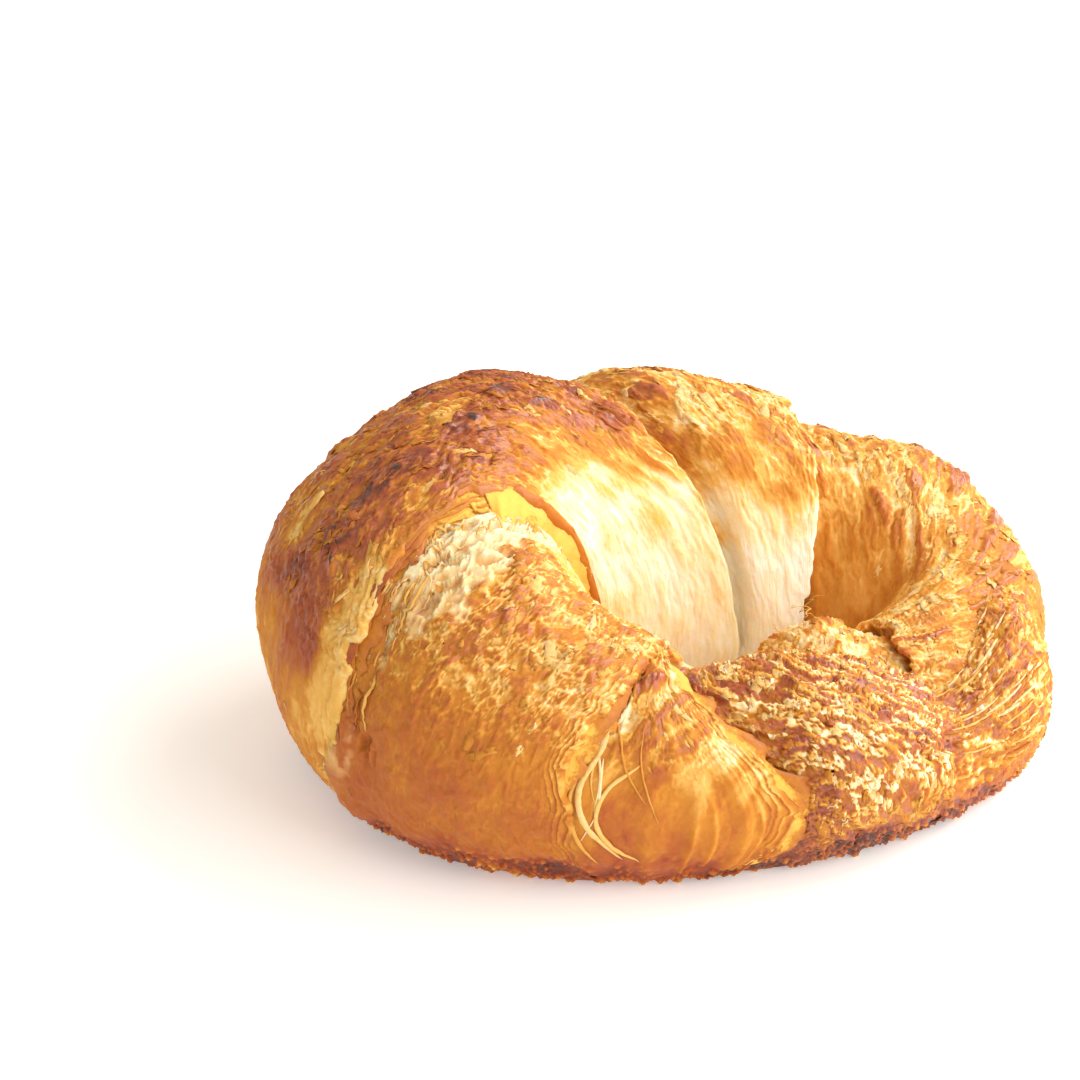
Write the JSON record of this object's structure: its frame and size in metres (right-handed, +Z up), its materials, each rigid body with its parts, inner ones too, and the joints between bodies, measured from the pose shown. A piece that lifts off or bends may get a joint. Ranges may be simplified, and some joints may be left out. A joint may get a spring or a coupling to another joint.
{
  "type": "croissant",
  "caption": "Baked croissant with a fat belly and two tapering arms curled round until they meet, leaving an open hollow between them.",
  "frame": {"origin": "centre of the overall bounding box at the flat underside", "axes": "+X from the belly towards the meeting tips, +Y from the front arm towards the back arm, +Z up from the underside"},
  "size_m": [0.1346, 0.1064, 0.0594],
  "materials": {
    "crust": "egg-washed golden crust, flaky, browner on the backs of the turns"
  },
  "bodies": {
    "root": {"croissant": "crust"}
  },
  "joints": []
}
